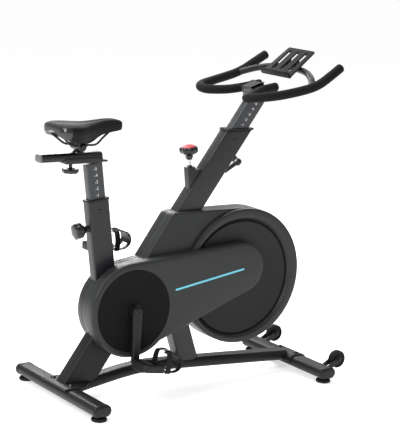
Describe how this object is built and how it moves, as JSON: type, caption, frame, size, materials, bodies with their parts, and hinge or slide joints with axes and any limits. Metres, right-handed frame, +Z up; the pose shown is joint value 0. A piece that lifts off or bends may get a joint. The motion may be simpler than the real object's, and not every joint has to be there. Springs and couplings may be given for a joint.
{
  "type": "exercise bike",
  "caption": "Upright indoor exercise bike with an enclosed belt-driven flywheel, sliding padded saddle, raked handlebar post with looped foam grips and a tablet rest.",
  "frame": {"origin": "on the floor, at the bottom centre of the whole bike's bounding box", "axes": "+X forward, towards the handlebar; +Y to the rider's left; +Z up"},
  "size_m": [1.159, 0.538, 1.1467],
  "materials": {
    "frame_charcoal": "satin",
    "post_grey": "satin",
    "shroud_plastic": "satin",
    "disc_plastic": "matte",
    "black_plastic": "matte",
    "gloss_black": "gloss",
    "rubber": "matte",
    "steel": "brushed",
    "cast_iron": "cast",
    "foam": "closed foam",
    "saddle_leather": "satin",
    "knob_red": "gloss",
    "light_strip": "gloss"
  },
  "bodies": {
    "frame": {"base_beam": "frame_charcoal", "rear_stabilizer": "frame_charcoal", "front_stabilizer": "frame_charcoal", "base_bolt_rear_right": "black_plastic", "base_bolt_rear_left": "black_plastic", "base_bolt_front_right": "black_plastic", "base_bolt_front_left": "black_plastic", "end_cap_rear_right": "black_plastic", "end_cap_rear_left": "black_plastic", "end_cap_front_right": "black_plastic", "end_cap_front_left": "black_plastic", "rear_leg": "frame_charcoal", "seat_tube": "frame_charcoal", "handle_tube": "frame_charcoal", "drive_frame": "frame_charcoal", "shroud_right": "shroud_plastic", "shroud_left": "shroud_plastic", "drive_cover": "shroud_plastic", "crank_disc": "disc_plastic", "light_strip": "light_strip", "bottom_bracket": "steel", "drive_belt": "rubber", "seat_sleeve": "black_plastic", "handle_sleeve": "black_plastic"},
    "crank": {"crank_axle": "steel", "crank_pulley": "black_plastic", "crank_arm_right": "gloss_black", "crank_arm_left": "gloss_black"},
    "pedal_r": {"pedal_right": "black_plastic", "toe_cage_right": "black_plastic"},
    "pedal_l": {"pedal_left": "black_plastic", "toe_cage_left": "black_plastic"},
    "wheel": {"flywheel": "cast_iron", "flywheel_axle": "steel"},
    "brake": {"brake_rod": "steel"},
    "brake_knob": {"resistance_knob": "gloss_black", "knob_cap": "knob_red"},
    "magnets": {"magnet_bracket": "steel"},
    "seat_mast": {"seat_post": "post_grey", "seat_cradle": "frame_charcoal"},
    "seat_pin": {"seat_knob": "gloss_black"},
    "slider": {"seat_slider": "frame_charcoal", "slider_cap": "post_grey"},
    "slider_screw": {"slider_knob": "gloss_black"},
    "saddle_top": {"saddle_clamp": "frame_charcoal", "saddle_rails": "steel", "saddle": "saddle_leather"},
    "handle_mast": {"handle_post": "post_grey", "clamp_cap": "post_grey", "handlebar": "frame_charcoal", "grip_right": "foam", "grip_left": "foam", "tablet_holder": "black_plastic"},
    "lever": {"handle_lever": "gloss_black"},
    "foot_rr": {"foot_rear_right": "rubber"},
    "foot_rl": {"foot_rear_left": "rubber"},
    "foot_fr": {"foot_front_right": "rubber"},
    "foot_fl": {"foot_front_left": "rubber"},
    "roller_r": {"transport_wheel_right": "rubber"},
    "roller_l": {"transport_wheel_left": "rubber"}
  },
  "joints": [
    {"name": "crank_turn", "type": "hinge", "parent": "frame", "child": "crank", "pos_m": [-0.2455, 0, 0.3], "axis": [0, 1, 0], "continuous": true},
    {"name": "pedal_right_spin", "type": "hinge", "parent": "crank", "child": "pedal_r", "pos_m": [-0.2455, -0.174, 0.135], "axis": [0, 1, 0], "continuous": true},
    {"name": "pedal_left_spin", "type": "hinge", "parent": "crank", "child": "pedal_l", "pos_m": [-0.2455, 0.174, 0.465], "axis": [0, 1, 0], "continuous": true},
    {"name": "flywheel_turn", "type": "hinge", "parent": "frame", "child": "wheel", "pos_m": [0.2005, 0, 0.366], "axis": [0, 1, 0], "continuous": true},
    {"name": "brake_push", "type": "slide", "parent": "frame", "child": "brake", "axis": [-0.1219, 0, 0.9925], "range_m": [-0.008, 0], "stiffness_N_per_m": 600},
    {"name": "resistance_turn", "type": "hinge", "parent": "brake", "child": "brake_knob", "pos_m": [0.0045, 0, 0.755], "axis": [-0.1219, 0, 0.9925], "range_deg": [-720, 720]},
    {"name": "magnet_swing", "type": "hinge", "parent": "frame", "child": "magnets", "pos_m": [0.0845, 0, 0.566], "axis": [0, 1, 0], "range_deg": [-1.5, 0]},
    {"name": "seat_height", "type": "slide", "parent": "frame", "child": "seat_mast", "axis": [-0.1478, 0, 0.989], "range_m": [-0.1, 0.05]},
    {"name": "seat_pin_pull", "type": "slide", "parent": "frame", "child": "seat_pin", "axis": [-0.989, 0, -0.1478], "range_m": [0, 0.008], "stiffness_N_per_m": 900},
    {"name": "seat_reach", "type": "slide", "parent": "seat_mast", "child": "slider", "axis": [1, 0, 0], "range_m": [-0.03, 0.05]},
    {"name": "slider_screw_turn", "type": "hinge", "parent": "seat_mast", "child": "slider_screw", "pos_m": [-0.4575, 0, 0.778], "axis": [0, 0, 1], "range_deg": [-180, 180]},
    {"name": "saddle_tilt", "type": "hinge", "parent": "slider", "child": "saddle_top", "pos_m": [-0.4315, 0, 0.846], "axis": [0, 1, 0], "range_deg": [-8, 8]},
    {"name": "handle_height", "type": "slide", "parent": "frame", "child": "handle_mast", "axis": [0.5807, 0, 0.8141], "range_m": [-0.08, 0.05]},
    {"name": "lever_turn", "type": "hinge", "parent": "frame", "child": "lever", "pos_m": [0.17432, 0, 0.78268], "axis": [0.8141, 0, -0.5807], "range_deg": [-90, 90]},
    {"name": "foot_rear_right_turn", "type": "hinge", "parent": "frame", "child": "foot_rr", "pos_m": [-0.4595, -0.243, 0], "axis": [0, 0, 1], "range_deg": [-180, 180]},
    {"name": "foot_rear_left_turn", "type": "hinge", "parent": "frame", "child": "foot_rl", "pos_m": [-0.4595, 0.243, 0], "axis": [0, 0, 1], "range_deg": [-180, 180]},
    {"name": "foot_front_right_turn", "type": "hinge", "parent": "frame", "child": "foot_fr", "pos_m": [0.4725, -0.212, 0], "axis": [0, 0, 1], "range_deg": [-180, 180]},
    {"name": "foot_front_left_turn", "type": "hinge", "parent": "frame", "child": "foot_fl", "pos_m": [0.4725, 0.212, 0], "axis": [0, 0, 1], "range_deg": [-180, 180]},
    {"name": "roller_right_spin", "type": "hinge", "parent": "frame", "child": "roller_r", "pos_m": [0.5485, -0.186, 0.068], "axis": [0, 1, 0], "continuous": true},
    {"name": "roller_left_spin", "type": "hinge", "parent": "frame", "child": "roller_l", "pos_m": [0.5485, 0.186, 0.068], "axis": [0, 1, 0], "continuous": true}
  ],
  "couplings": [
    {"joint": "flywheel_turn", "follows": "crank_turn", "ratio": 3.9286},
    {"joint": "magnet_swing", "follows": "brake_push", "rad_per_m": 3.2725}
  ]
}
